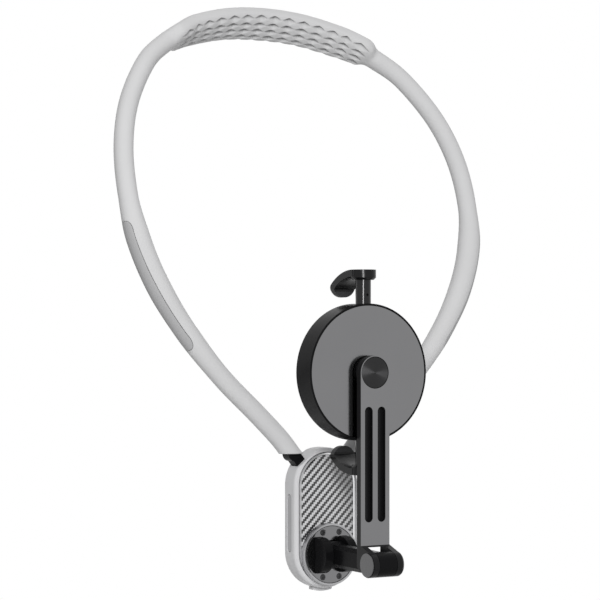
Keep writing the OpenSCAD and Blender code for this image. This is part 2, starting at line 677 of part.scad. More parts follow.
module pivot_cap() color("gray") placed() translate([0, 0, disc_z]) rod_y(cap_d / 2, arm_front, arm_front + cap_t);

// Disc
face_t = 0.7;
face_inset = 0.8;
front_wall = 1.5;
pad_t = 0.7;
pad_inset = 1.4;
pad_proud = 0.2;
magnet_t = 1.8;
backing_t = 0.5;
flange_r = 7;
flange_h = 1.5;
pocket_r = 7.3;
post_y = disc_front + face_t + 4;
post_in = 17.5;
pad_floor = disc_back + pad_proud - pad_t - fit / 2;
spindle_y = disc_front + face_t + front_wall;
module disc_spindle() color("silver") placed() translate([0, 0, disc_z]) {
    rod_y(spindle_r, arm_front + cap_t, spindle_y + flange_h / 2);
    rod_y(flange_r, spindle_y, spindle_y + flange_h);
}
module disc_housing() color("#161618") placed() translate([0, 0, disc_z]) difference() {
    rod_y(disc_d / 2, disc_front, disc_back);
    rod_y(disc_d / 2 - face_inset, disc_front - over, disc_front + face_t);
    rod_y(spindle_r + turn, disc_front - over, spindle_y + over);
    rod_y(pocket_r, spindle_y, disc_back + over);
    rod_y(disc_d / 2 - pad_inset, pad_floor, disc_back + over);
    ring_y(magnet_r + 0.8, magnet_r - magnet_w - 0.8, pad_floor - magnet_t - backing_t - fit, disc_back);
    translate([0, post_y, -disc_d]) cylinder(r = post_d / 2 + turn, h = 2 * disc_d);
}
module disc_face() color("#8a8b8d") placed() translate([0, 0, disc_z])
    ring_y(disc_d / 2 - face_inset - fit, spindle_r + fit, disc_front, disc_front + face_t - turn);
magnet_half = 180 / magnet_count - 0.5;
module magnet_ring() color("silver") placed() translate([0, 0, disc_z])
    for (k = [0 : magnet_count - 1]) rotate([0, k * 360 / magnet_count, 0])
        along_y(pad_floor - turn - magnet_t, pad_floor - turn) intersection() {
            difference() {
                circle(r = magnet_r);
                circle(r = magnet_r - magnet_w);
            }
            polygon([[0, 0], 2 * magnet_r * [-sin(magnet_half), cos(magnet_half)],
                2 * magnet_r * [sin(magnet_half), cos(magnet_half)]]);
        }
module magnet_backing() color("dimgray") placed() translate([0, 0, disc_z])
    ring_y(magnet_r + 0.6, magnet_r - magnet_w - 0.6, pad_floor - magnet_t - backing_t - fit + turn / 2,
        pad_floor - magnet_t - fit + turn / 2);
module phone_pad() color("#303134") placed() translate([0, 0, disc_z])
    rod_y(disc_d / 2 - pad_inset - fit, pad_floor + turn, pad_floor + turn + pad_t);

// Claws: built for the upper one, and mirrored for the lower
module claw_frame(s) placed() translate([0, post_y, disc_z]) mirror([0, 0, s > 0 ? 0 : 1])
    translate([0, 0, claw_top]) children();
claw_cap_h = 3.5;
cap_chamfer = 1;
post_seat = 2.4;
tip_h = 2.6;
bow_r = 28;
lip_t = 3.1;
lip_corner = claw_w / 2 - 0.2;
corner_r = 3.6;
// Side profile of the tongue: x is the reach towards the wearer, y is up. The bow's outer round runs
// into the lip's round without a step
corner_x = claw_reach - corner_r;
corner_z = sqrt(pow(bow_r - corner_r, 2) - corner_x * corner_x) - bow_r;
module tongue_profile() intersection() {
    difference() {
        union() {
            intersection() {
                translate([0, -bow_r]) circle(r = bow_r, $fn = 128);
                translate([0, -bow_r]) square([corner_x * bow_r / (bow_r - corner_r), bow_r]);
            }
            translate([corner_x, corner_z]) circle(r = corner_r);
            translate([claw_reach - lip_t, -bow_r]) square([lip_t, bow_r + corner_z]);
        }
        intersection() {
            translate([0, -bow_r]) circle(r = bow_r - claw_t, $fn = 128);
            translate([-over, -bow_r]) square([claw_reach - lip_t + over, bow_r]);
        }
    }
    translate([0, tip_h - claw_drop]) square([claw_reach, claw_drop]);
}
module lip_outline() {
    half = claw_w / 2;
    translate([-half, lip_corner - claw_drop]) square([claw_w, claw_drop + over]);
    translate([lip_corner - half, -claw_drop]) square([claw_w - 2 * lip_corner, claw_drop]);
    for (s = [-1, 1]) translate([s * (half - lip_corner), lip_corner - claw_drop]) circle(r = lip_corner);
}
module claw(s) color("#1a1a1c") claw_frame(s) difference() {
    union() {
        translate([0, 0, -claw_cap_h]) cylinder(d = claw_cap_d, h = claw_cap_h);
        translate([0, 0, -claw_cap_h - cap_chamfer])
            cylinder(d1 = claw_cap_d - 2 * cap_chamfer, d2 = claw_cap_d, h = cap_chamfer);
        intersection() {
            translate([-claw_w / 2, 0, 0]) rotate([90, 0, 90]) linear_extrude(height = claw_w) tongue_profile();
            along_y(-over, claw_reach + over) lip_outline();
        }
    }
    translate([0, 0, -claw_cap_h - cap_chamfer - over])
        cylinder(r = post_d / 2 + turn, h = post_seat + over);
}
module post(s) color("#1a1a1c") claw_frame(s) difference() {
    translate([0, 0, post_in - claw_top])
        cylinder(r = post_d / 2, h = claw_top - post_in - claw_cap_h - cap_chamfer + post_seat - turn);
    translate([0, over - post_d / 2, dimple_z - claw_top]) rod_y(dimple_r, -2 * over, 0);
}
dimple_z = 34;
dimple_r = 0.6;
module lip_tip(s) color("#5a5b5e") claw_frame(s) intersection() {
    translate([-claw_w / 2, claw_reach - lip_t, -claw_drop]) cube([claw_w, lip_t, tip_h]);
    along_y(-over, claw_reach + over) lip_outline();
}

// Buttons
module side_button(s) color("gainsboro") placed() {
    oblong_x(side_w, side_len, s > 0 ? side_x - wall - flange_t / 2 : seam - side_x,
        s > 0 ? side_x - seam : wall + flange_t / 2 - side_x);
    oblong_x(side_w + 2 * flange_grow, side_len + 2 * flange_grow,
        s > 0 ? side_x - wall - fit - flange_t : wall + fit - side_x,
        s > 0 ? side_x - wall - fit : wall + fit + flange_t - side_x);
}
module release_button() color("gainsboro") placed() {
    foot_sector(pod_r - wall - fit - flange_t / 2, pod_r + release_proud, release_w, release_d);
    foot_sector(pod_r - wall - fit - flange_t, pod_r - wall - fit,
        release_w + 2 * flange_grow, release_d + 2 * flange_grow);
}
module side_spring(s) color("silver") placed() translate([0, side_y, side_z])
    rod_x(spring_r, s > 0 ? rib_x + rib_t : wall + fit + flange_t + turn - side_x,
        s > 0 ? side_x - wall - fit - flange_t - turn : -rib_x - rib_t);
module release_spring() color("silver") placed()
    translate([0, release_spring_y, release_seat + turn + fit])
        cylinder(r = 1, h = rest_z - release_seat - turn - fit);

neck_sleeve();
neck_wire();
arm_inlay(-1);  // left_arm_inlay
arm_inlay(1);  // right_arm_inlay
arm_root(-1);  // left_arm_root
arm_root(1);  // right_arm_root
rear_cover();
front_frame();
carbon_plate();
cover_screws();
turntable_ring();
turntable_plate();
turntable_screws();
clevis();
turntable_retainer();
friction_washer();
clevis_pin();
clevis_washers();
swivel_link();
arm();
arm_hinge_pin();
pivot_spacer();
pivot_cap();
disc_spindle();
disc_housing();
disc_face();
magnet_ring();
magnet_backing();
phone_pad();
claw(1);  // upper_claw
post(1);  // upper_post
lip_tip(1);  // upper_lip_tip
claw(-1);  // lower_claw
post(-1);  // lower_post
lip_tip(-1);  // lower_lip_tip
side_button(-1);  // left_side_button
side_button(1);  // right_side_button
release_button();
side_spring(-1);  // left_button_spring
side_spring(1);  // right_button_spring
release_spring();
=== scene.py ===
"""Looks of the neck phone holder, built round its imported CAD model. Lengths are in millimetres and
become metres where a mesh, light or camera is made."""
from collections import namedtuple
from math import cos, pi, radians, sin, sqrt

import bmesh
import bpy
import numpy as np
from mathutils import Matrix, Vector


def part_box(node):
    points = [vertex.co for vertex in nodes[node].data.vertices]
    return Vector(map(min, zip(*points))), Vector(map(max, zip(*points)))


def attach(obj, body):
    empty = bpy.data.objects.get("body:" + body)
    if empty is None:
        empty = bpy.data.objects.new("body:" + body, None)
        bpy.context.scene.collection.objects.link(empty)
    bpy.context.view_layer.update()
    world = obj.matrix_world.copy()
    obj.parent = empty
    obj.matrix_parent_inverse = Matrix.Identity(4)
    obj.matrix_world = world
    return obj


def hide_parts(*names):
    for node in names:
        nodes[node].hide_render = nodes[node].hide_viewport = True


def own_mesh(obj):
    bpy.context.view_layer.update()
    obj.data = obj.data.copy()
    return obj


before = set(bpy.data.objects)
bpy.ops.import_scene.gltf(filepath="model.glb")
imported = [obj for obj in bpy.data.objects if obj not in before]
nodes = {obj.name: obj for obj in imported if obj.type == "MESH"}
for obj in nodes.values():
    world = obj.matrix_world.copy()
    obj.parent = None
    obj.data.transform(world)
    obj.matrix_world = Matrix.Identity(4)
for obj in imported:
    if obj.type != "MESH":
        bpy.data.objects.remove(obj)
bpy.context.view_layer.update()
MM = 0.001


def unit(v):
    return v / np.linalg.norm(v)


# ---------------------------------------------------------------- where things are
# Places are given from the turntable's axis on the pod's front plane
ARM_FRONT, DISC_Z = -39.55, 82.5
ROOT_Y, ROOT_Z = 5.5, 45.5
RING_HALF, RING_REACH, RING_RISE = 90.8, 54.5, 200.9
TUBE_D, ARM_D = 8.8, 10.8
PAD_ACROSS, PAD_THICK = 16.4, 8.8
# Half of the ring's path, from the nape to a root. Each row has the place as shares of the half
# width, the reach and the rise, then how far the section is the pad's and how far the thicker
# arm's, and the direction that its inner side faces
PATH = np.array([
    [0, 1, 1, 1, 0, 0, -0.744, -0.669],
    [0.22, 0.974, 0.993, 1, 0, -0.19, -0.68, -0.7],
    [0.435, 0.912, 0.97, 1, 0, -0.37, -0.6, -0.71],
    [0.553, 0.833, 0.948, 0.95, 0, -0.47, -0.42, -0.77],
    [0.63, 0.809, 0.93, 0.12, 0, -0.5, -0.3, -0.8],
    [0.766, 0.702, 0.881, 0, 0, -0.62, -0.26, -0.6],
    [0.909, 0.536, 0.785, 0, 0, -0.85, -0.1, -0.3],
    [0.984, 0.386, 0.682, 0, 0, -0.96, 0.06, -0.1],
    [1, 0.255, 0.573, 0, 0, -1, 0.03, 0],
    [0.97, 0.16, 0.473, 0, 1, -1, 0, 0],
    [0.886, 0.095, 0.373, 0, 1, -0.97, 0.1, 0],
    [0.752, 0.05, 0.275, 0, 0.6, -0.9, 0.15, 0],
    [0.566, 0.018, 0.174, 0, 0, -0.8, 0.4, 0],
    [0.372, 0, 0.091, 0, 0, -0.5, 0.8, 0],
    [0.245, 0, 0.036, 0, 0, -0.2, 1, 0],
    [0.176, 0, 0, 0, 0, 0, 1, 0]])
PAD, ARM, INWARD = 3, 4, slice(5, 8)
LAST = len(PATH) - 1
REST_N = unit(PATH[0, INWARD])
REST = np.array([0, ROOT_Y + RING_REACH, ROOT_Z + RING_RISE]) + REST_N * PAD_THICK / 2


def at(x, y, z):
    """A place given from the turntable's axis on the pod's front plane, in the part's frame."""
    return Vector((np.array([x, y, z], float) - REST) * MM)


# ---------------------------------------------------------------- the ring's sweep
Section = namedtuple("Section", "centre along inward across half_width half_thick power")
ROUND_POWER, PAD_POWER = 2, 0.9
FINE_ANGLES = 241


def place(i):
    """The path's point number i, mirrored for the left half and carried on past the last one."""
    side = -1 if i < 0 else 1
    if abs(i) > LAST:
        return 2 * place(side * LAST) - place(side * (LAST - 1))
    x, y, z = PATH[abs(i), :3]
    return np.array([side * x * RING_HALF, ROOT_Y + y * RING_REACH, ROOT_Z + z * RING_RISE])


def lean(i):
    """The direction that the section's inner side faces at point number i."""
    x, y, z = PATH[min(abs(i), LAST), INWARD]
    return np.array([-x if i < 0 else x, y, z])


def station(u):
    """The section at u points along a smooth (Catmull-Rom) curve through the path."""
    held = max(-LAST, min(LAST, u))
    i = min(LAST - 1, int(np.floor(held)))
    t = held - i
    a, b, c, d = (place(k) for k in (i - 1, i, i + 1, i + 2))
    square, cube = 2 * a - 5 * b + 4 * c - d, 3 * b - a - 3 * c + d
    centre = 0.5 * (2 * b + (c - a) * t + square * t * t + cube * t ** 3)
    along = unit(c - a + 2 * square * t + 3 * cube * t * t)
    want = lean(i) + (lean(i + 1) - lean(i)) * t
    inward = unit(want - want.dot(along) * along)

    def mix(col):
        low, high = (PATH[min(abs(k), LAST), col] for k in (i, i + 1))
        return low + (high - low) * t * t * (3 - 2 * t)

    pad, arm = mix(PAD), mix(ARM)
    return Section(centre, along, inward, np.cross(along, inward),
                   (TUBE_D + pad * (PAD_ACROSS - TUBE_D) + arm * (ARM_D - TUBE_D)) / 2,
                   (TUBE_D + pad * (PAD_THICK - TUBE_D) + arm * (ARM_D - TUBE_D)) / 2,
                   ROUND_POWER + PAD_POWER * pad)


def section_r(s, angle):
    """The section's radius at an angle from its inward normal."""
    up = np.abs(np.cos(angle) / s.half_thick) ** s.power
    across = np.abs(np.sin(angle) / s.half_width) ** s.power
    return (up + across) ** (-1 / s.power)


def section_points(s, up, across):
    """Points of a section, from where they lie along its inward normal and across it."""
    return s.centre + np.outer(up, s.inward) + np.outer(across, s.across)


def levelled(u, s, points):
    """Slides a section's points along the tube, so that the last section lies level."""
    end = max(0.0, abs(u) - LAST + 1)
    if end == 0:
        return points
    return points + np.outer(end * (s.centre[2] - points[:, 2]) / s.along[2], s.along)


def even_angles(s, start, stop, count):
    """count angles from start to stop, evenly spaced along the section's outline."""
    fine = np.linspace(start, stop, FINE_ANGLES)
    r = section_r(s, fine)
    x, y = r * np.cos(fine), r * np.sin(fine)
    run = np.concatenate([[0], np.cumsum(np.hypot(np.diff(x), np.diff(y)))])
    return np.interp(np.linspace(0, run[-1], count), run, fine)


# Each inlay's two ends as shares of the half path, its half angles in its middle and at its ends,
# its thickness, the gap under it and the seam round it. ROUND is the share that an end's rounding
# takes, and TURN the share over which the seat's angle opens again beyond it
INLAY = (0.572, 0.753)
INLAY_HALF, INLAY_END = radians(50), radians(10)
INLAY_T, INLAY_GAP, INLAY_SEAM = 0.8, 0.15, 0.28
INLAY_LIP, INLAY_CLEAR, INLAY_COLS = 0.12, 0.0006, 24
INLAY_SHARP = radians(50)
ROUND, TURN = 0.013, 0.03


def inlay_angle(share):
    """Half of the angle that the inlay takes. It opens again beyond the ends, so that the sleeve's
    mesh stays even."""
    deep = min(share - INLAY[0], INLAY[1] - share)
    if deep < 0:
        return INLAY_END + (INLAY_HALF - INLAY_END) * min(1, -deep / TURN)
    e = min(1, deep / ROUND)
    return INLAY_END + (INLAY_HALF - INLAY_END) * sqrt(e * (2 - e))


# Rows of shallow diamond pits on the nape pad's inner face. PIT_WALL is the share of a pit's height
# that its steep upper wall takes, PIT_BEND how far that wall comes down at the pit's sides, and
# PIT_SHARE the most that a pit takes of the pad's half thickness
PIT_COLS, PIT_ROWS = 14, 5
PIT_ALONG, PIT_ACROSS = 7.87, 3.5
PIT_TOP = -7.3
PIT_DEEP, PIT_SHARE = 1.9, 0.45
PIT_WALL, PIT_BEND, BEND_POWER = 0.22, 0.26, 1.5
PIT_SIDES, SIDES_POWER, PIT_FALL = 1.06, 1.2, 1.02


def pit_depth(run, w):
    """How deep the pad's face lies at run mm along it and w mm across it (up is negative)."""
    col = run / PIT_ALONG + PIT_COLS / 2
    row = (w - PIT_TOP) / PIT_ACROSS
    inside = (col > 0) & (col < PIT_COLS) & (row > 0) & (row < PIT_ROWS)
    fx = np.abs(col - np.floor(col) - 0.5) / 0.5
    fy = row - np.floor(row) - PIT_WALL - PIT_BEND * fx ** BEND_POWER
    fy = np.where(fy < 0, -fy / PIT_WALL, fy / (1 - PIT_WALL))
    deep = np.clip(1 - PIT_SIDES * fx ** SIDES_POWER - PIT_FALL * fy, 0, 1)
    return np.where(inside, PIT_DEEP * deep, 0)


# ---------------------------------------------------------------- pieces made here
def new_mesh(name, points, faces):
    """A smooth piece from points in the part's millimetres."""
    mesh = bpy.data.meshes.new(name)
    mesh.from_pydata([tuple((np.asarray(p) - REST) * MM) for p in points], [], faces)
    bm = bmesh.new()
    bm.from_mesh(mesh)
    bmesh.ops.recalc_face_normals(bm, faces=bm.faces)
    bm.to_mesh(mesh)
    bm.free()
    mesh.validate()
    for p in mesh.polygons:
        p.use_smooth = True
    obj = bpy.data.objects.new(name, mesh)
    bpy.context.scene.collection.objects.link(obj)
    return obj


def band(low, high, sides):
    """Four-sided faces between two rings of points, which start at points number low and high."""
    pairs = [(j, (j + 1) % sides) for j in range(sides)]
    return [(low + j, low + k, high + k, high + j) for j, k in pairs]


def tube_faces(rings, sides, closed=True):
    """The faces of a tube with so many rings of points, and of its flat ends if it is closed."""
    last = (rings - 1) * sides
    faces = [face for low in range(0, last, sides) for face in band(low, low + sides, sides)]
    if closed:
        faces += [tuple(range(sides)), tuple(range(last, last + sides))]
    return faces


# Points round the sleeve and on the inlay's seat, and steps along it as shares of the half path
OUTER, SEAT = 120, 30
PAD_SHARE = 3.4 / LAST
PAD_STEP, STEP, STEP_CLEAR = 0.0021, 0.0062, 0.0012
END_STEPS = [-0.0004, 0.0004, 0.0008, 0.0016, 0.003, 0.005, 0.0075, 0.0102, ROUND]
SEAT_EDGE = radians(0.4)
END_RINGS = (0.94, 0.6)


def ring_stops():
    """Shares of the half path: close on the pad and at the inlay's ends, wider elsewhere."""
    pad = list(np.arange(0, PAD_SHARE, PAD_STEP))
    rest = list(np.arange(PAD_SHARE, 1.0, STEP)) + [1.0]
    ends = [INLAY[0] + e for e in END_STEPS] + [INLAY[1] - e for e in END_STEPS]
    rest = [r for r in rest if min(abs(r - x) for x in ends) > STEP_CLEAR]
    return sorted(pad + rest + ends)


def sleeve():
    """The silicone sleeve: its sections joined up, with the inlays' seats and the pad's pits."""
    half = ring_stops()
    stops = [-s for s in half[:0:-1]] + half
    centres = np.array([station(s * LAST).centre for s in stops])
    run = np.concatenate([[0], np.cumsum(np.linalg.norm(np.diff(centres, axis=0), axis=1))])
    run -= run[len(half) - 1]
    points = []
    for share, along in zip(stops, run):
        s = station(share * LAST)
        a = inlay_angle(abs(share))
        cut = INLAY[0] < abs(share) < INLAY[1]
        edge = SEAT_EDGE if cut else 2 * a / (SEAT + 1)
        angles = np.concatenate([even_angles(s, pi + a, 3 * pi - a, OUTER),
                                 even_angles(s, 3 * pi - a + edge, 3 * pi + a - edge, SEAT)])
        r = section_r(s, angles)
        if cut:
            r[OUTER:] -= INLAY_T + INLAY_GAP
        up, across = r * np.cos(angles), r * np.sin(angles)
        if abs(share) < PAD_SHARE:
            most = np.maximum(0, PIT_SHARE * up)
            up = up - np.minimum(pit_depth(along, across), most)
        points.extend(levelled(share * LAST, s, section_points(s, up, across)))
    sides = OUTER + SEAT
    faces = tube_faces(len(stops), sides, closed=False)
    # Flat ends, closed over two smaller rings. The arm roots cover them
    for first in (0, (len(stops) - 1) * sides):
        ring = np.array(points[first:first + sides])
        mid = ring.mean(0)
        last = first
        for shrink in END_RINGS:
            here = len(points)
            points.extend(mid + (ring - mid) * shrink)
            faces += band(last, here, sides)
            last = here
        faces.append(tuple(range(last, last + sides)))
    return new_mesh("sleeve_skin", points, faces)


def inlay(side):
    """The strip that fills one arm's seat: the left one for -1, the right one for 1."""
    stops = [s for s in ring_stops() if INLAY[0] + INLAY_CLEAR < s < INLAY[1] - INLAY_CLEAR]
    points = []
    for share in stops:
        s = station(side * share * LAST)
        a = inlay_angle(share) - INLAY_SEAM / s.half_thick
        angles = pi + np.linspace(-a, a, INLAY_COLS + 1)
        lip = np.zeros(INLAY_COLS + 1)
        lip[0] = lip[-1] = INLAY_LIP
        top = section_r(s, angles) - lip
        low = section_r(s, angles[::-1]) - INLAY_T
        for r, ang in ((top, angles), (low, angles[::-1])):
            points.extend(section_points(s, r * np.cos(ang), r * np.sin(ang)))
    obj = new_mesh(("left" if side < 0 else "right") + "_inlay_skin", points,
                   tube_faces(len(stops), 2 * (INLAY_COLS + 1)))
    obj.data.set_sharp_from_angle(angle=INLAY_SHARP)
    return obj


# The cap's outline, as radii and depths behind its front face
CAP_PROFILE = [(6.5, 0), (6.68, 0.05), (6.8, 0.2), (6.8, 1.05)]
CAP_SIDES, CAP_SHARP = 96, radians(30)


def cap():
    """The pivot cap, turned round its own origin, so that its rings run round its own axis."""
    turns = [k * 2 * pi / CAP_SIDES for k in range(CAP_SIDES)]
    points = [REST + (r * sin(a), y, r * cos(a)) for r, y in CAP_PROFILE for a in turns]
    obj = new_mesh("cap_skin", points, tube_faces(len(CAP_PROFILE), CAP_SIDES))
    obj.data.set_sharp_from_angle(angle=CAP_SHARP)
    obj.location = at(0, ARM_FRONT, DISC_Z)
    return obj


COIL_WIRE, COIL_TURNS, COIL_STEPS, COIL_SIDES = 0.4, 6, 28, 8
CLOSED_PITCH = 1.2 * COIL_WIRE


def coil(name, axis, ahead):
    """A coil spring with closed ends, as long and wide as the CAD's plain cylinder of that name.
    Gives the piece, its length, and its end on the button's side, which lies towards ahead along
    the axis."""
    low, high = (np.array(corner, float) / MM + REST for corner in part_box(name))
    mid, size = (low + high) / 2, high - low
    ways = np.roll(np.eye(3), -axis, axis=0)
    radius = min(size[k] for k in range(3) if k != axis) / 2 - COIL_WIRE / 2
    rise = size[axis] - COIL_WIRE
    turns = [0, 1, COIL_TURNS - 1, COIL_TURNS]
    heights = [0, CLOSED_PITCH, rise - CLOSED_PITCH, rise]
    steps = COIL_TURNS * COIL_STEPS + 1
    points = []
    for k in range(steps):
        turn = k / COIL_STEPS
        out = cos(turn * 2 * pi) * ways[1] + sin(turn * 2 * pi) * ways[2]
        centre = mid + radius * out + (np.interp(turn, turns, heights) - rise / 2) * ways[0]
        for j in range(COIL_SIDES):
            a = j * 2 * pi / COIL_SIDES
            points.append(centre + COIL_WIRE / 2 * (cos(a) * out + sin(a) * ways[0]))
    end = (mid + ahead * size[axis] / 2 * ways[0] - REST) * MM
    return new_mesh(name + "_coil", points, tube_faces(steps, COIL_SIDES)), size[axis], end


# ---------------------------------------------------------------- materials
def shader(name, colour, roughness, metallic=0.0):
    """A new material, its node tree and its Principled shader."""
    mat = bpy.data.materials.new(name)
    mat.use_nodes = True
    tree = mat.node_tree
    bsdf = tree.nodes["Principled BSDF"]
    bsdf.inputs["Base Color"].default_value = (*colour, 1)
    bsdf.inputs["Roughness"].default_value = roughness
    bsdf.inputs["Metallic"].default_value = metallic
    return mat, tree, bsdf


def node(tree, kind, **values):
    """A new node, with values for its sockets or its own settings."""
    n = tree.nodes.new(kind)
    for key, value in values.items():
        if key in n.inputs:
            n.inputs[key].default_value = value
        else:
            setattr(n, key, value)
    return n


def math_node(tree, operation, a, b=None):
    """What a maths node gives for a and b, each a number or a socket."""
    n = tree.nodes.new("ShaderNodeMath")
    n.operation = operation
    for socket, value in zip(n.inputs, (a, b)):
        if value is None:
            continue
        if isinstance(value, (int, float)):
            socket.default_value = value
        else:
            tree.links.new(value, socket)
    return n.outputs[0]


def coords(tree):
    return tree.nodes.new("ShaderNodeTexCoord").outputs["Object"]


def noise(tree, where, scale, detail=4.0):
    n = node(tree, "ShaderNodeTexNoise", Scale=scale, Detail=detail, Roughness=0.55)
    tree.links.new(where, n.inputs["Vector"])
    return n.outputs["Fac"]


def stretched(tree, scale):
    """The object's coordinates, scaled along each axis."""
    mapping = node(tree, "ShaderNodeMapping")
    mapping.inputs["Scale"].default_value = scale
    tree.links.new(coords(tree), mapping.inputs["Vector"])
    return mapping.outputs[0]


def blend_colour(tree, fac, a, b):
    """The colour a where fac is 0 and b where it is 1, each a colour or a socket."""
    n = tree.nodes.new("ShaderNodeMix")
    n.data_type = "RGBA"
    tree.links.new(fac, n.inputs[0])
    for socket, value in ((n.inputs[6], a), (n.inputs[7], b)):
        if isinstance(value, tuple):
            socket.default_value = (*value, 1)
        else:
            tree.links.new(value, socket)
    return n.outputs[2]


def span(tree, fac, low, high):
    """A value that is low where fac is 0 and high where it is 1."""
    n = node(tree, "ShaderNodeMapRange")
    n.inputs["To Min"].default_value = low
    n.inputs["To Max"].default_value = high
    tree.links.new(fac, n.inputs["Value"])
    return n.outputs[0]


def bump(tree, bsdf, height, strength, distance):
    n = node(tree, "ShaderNodeBump", Strength=strength, Distance=distance)
    tree.links.new(height, n.inputs["Height"])
    tree.links.new(n.outputs[0], bsdf.inputs["Normal"])


def shade(c, k):
    return tuple(v * k for v in c)


def uneven_tint(tree, fac, colour, spread):
    """The colour, darker by spread where fac is 0 and lighter by it where fac is 1."""
    return blend_colour(tree, fac, shade(colour, 1 - spread), shade(colour, 1 + spread))


# How far a hollow's sides may be apart for painted shade to darken it, in metres, and how dark the
# painted shade gets
SHADE_REACH, SHADE_TINT = 0.0016, 0.06


def moulded(name, colour, roughness, grain=900, depth=0.25, spread=0.06, specular=0.5,
            metallic=0.0, painted_hollow_shade=False):
    """A moulded or blasted surface with slight cloudiness, uneven gloss and a fine grain, and with
    painted shade that darkens the hollow places if asked."""
    mat, tree, bsdf = shader(name, colour, roughness, metallic)
    where = coords(tree)
    tint = uneven_tint(tree, noise(tree, where, scale=45), colour, spread)
    if painted_hollow_shade:
        # Painted shade: the colour darkens where ambient occlusion finds close walls round a hollow
        sky = node(tree, "ShaderNodeAmbientOcclusion", Distance=SHADE_REACH, samples=8,
                   only_local=True)
        shade_share = span(tree, sky.outputs["AO"], low=1, high=0)
        tint = blend_colour(tree, shade_share, tint, shade(colour, SHADE_TINT))
    tree.links.new(tint, bsdf.inputs["Base Color"])
    fine = noise(tree, where, scale=grain, detail=3)
    gloss = span(tree, fine, low=roughness - 0.06, high=roughness + 0.06)
    tree.links.new(gloss, bsdf.inputs["Roughness"])
    bump(tree, bsdf, fine, strength=depth, distance=0.00004)
    bsdf.inputs["Specular IOR Level"].default_value = specular
    return mat


def brushed(name, colour, roughness, stretch, spread=0.1):
    """A metal surface with fine lines along the axis that stretch leaves long."""
    mat, tree, bsdf = shader(name, colour, roughness, metallic=1.0)
    lines = noise(tree, stretched(tree, stretch), scale=900, detail=3)
    tree.links.new(uneven_tint(tree, lines, colour, spread), bsdf.inputs["Base Color"])
    gloss = span(tree, lines, low=roughness - 0.05, high=roughness + 0.07)
    tree.links.new(gloss, bsdf.inputs["Roughness"])
    bump(tree, bsdf, lines, strength=0.12, distance=0.00002)
    return mat


TURNED_PITCH = 0.00045


def turned(name, colour, roughness):
    """A metal face with fine rings turned round the Y axis through its object's origin."""
    mat, tree, bsdf = shader(name, colour, roughness, metallic=1.0)
    split = node(tree, "ShaderNodeSeparateXYZ")
    tree.links.new(coords(tree), split.inputs[0])
    squares = [math_node(tree, "MULTIPLY", split.outputs[k], split.outputs[k]) for k in (0, 2)]
    r = math_node(tree, "SQRT", math_node(tree, "ADD", *squares))
    rings = math_node(tree, "SINE", math_node(tree, "MULTIPLY", r, 2 * pi / TURNED_PITCH))
    uneven = noise(tree, coords(tree), scale=500, detail=3)
    tree.links.new(uneven_tint(tree, uneven, colour, 0.1), bsdf.inputs["Base Color"])
    gloss = span(tree, uneven, low=roughness - 0.03, high=roughness + 0.03)
    tree.links.new(gloss, bsdf.inputs["Roughness"])
    bump(tree, bsdf, rings, strength=0.15, distance=0.00001)
    bsdf.inputs["Anisotropic"].default_value = 0.9
    bsdf.inputs["Anisotropic Rotation"].default_value = 0.25
    tangent = node(tree, "ShaderNodeTangent", direction_type="RADIAL", axis="Y")
    tree.links.new(tangent.outputs[0], bsdf.inputs["Tangent"])
    return mat


# How far the face with the painted reflection has to turn forwards, and how near its level it has to
# be, in metres
REFLECTION_FACING, LEVEL_NEAR = 0.7, 0.0007


def painted_front_reflection(name, front, side, rough_front, rough_side, level):
    """Black all over, but for the face that looks forwards at one level, which is painted as paler
    metal to stand in for a reflection.
    """
    mat, tree, bsdf = shader(name, side, rough_side)
    bsdf.inputs["Specular IOR Level"].default_value = 0.15
    texture = tree.nodes.new("ShaderNodeTexCoord")
    split = node(tree, "ShaderNodeSeparateXYZ")
    tree.links.new(texture.outputs["Normal"], split.inputs[0])
    forwards = math_node(tree, "MULTIPLY", split.outputs[1], -1.0)
    reflection_mask = math_node(tree, "GREATER_THAN", forwards, REFLECTION_FACING)
    depth = node(tree, "ShaderNodeSeparateXYZ")
    tree.links.new(texture.outputs["Object"], depth.inputs[0])
    off = math_node(tree, "ABSOLUTE", math_node(tree, "SUBTRACT", depth.outputs[1], level.y))
    near = math_node(tree, "LESS_THAN", off, LEVEL_NEAR)
    reflection_mask = math_node(tree, "MULTIPLY", reflection_mask, near)
    cloud = noise(tree, texture.outputs["Object"], scale=60)
    fine = noise(tree, texture.outputs["Object"], scale=1200, detail=3)
    # The paler metal on the forward face is a painted reflection
    reflection_tone = uneven_tint(tree, cloud, front, 0.05)
    dark = blend_colour(tree, cloud, shade(side, 0.8), shade(side, 1.3))
    tree.links.new(blend_colour(tree, reflection_mask, dark, reflection_tone), bsdf.inputs["Base Color"])
    tree.links.new(reflection_mask, bsdf.inputs["Metallic"])
    gloss = span(tree, reflection_mask, low=rough_side, high=rough_front)
    uneven = span(tree, fine, low=-0.03, high=0.05)
    tree.links.new(math_node(tree, "ADD", gloss, uneven), bsdf.inputs["Roughness"])
    bump(tree, bsdf, fine, strength=0.15, distance=0.00003)
    return mat


# A tow's width in metres, in how many tows the twill repeats, and each tow's darkest and lightest
# fibres. The warp's pale tones are painted sheen; the weft keeps the fibres' own black
TOW, TWILL = 0.00092, 4.0
FIBRE_FINE, FIBRE_LONG = 9000, 700
PAINTED_SHEEN_WARP = (0.4, 0.4, 0.41), (0.85, 0.85, 0.86)
WEFT = (0.003, 0.003, 0.0035), (0.012, 0.012, 0.013)


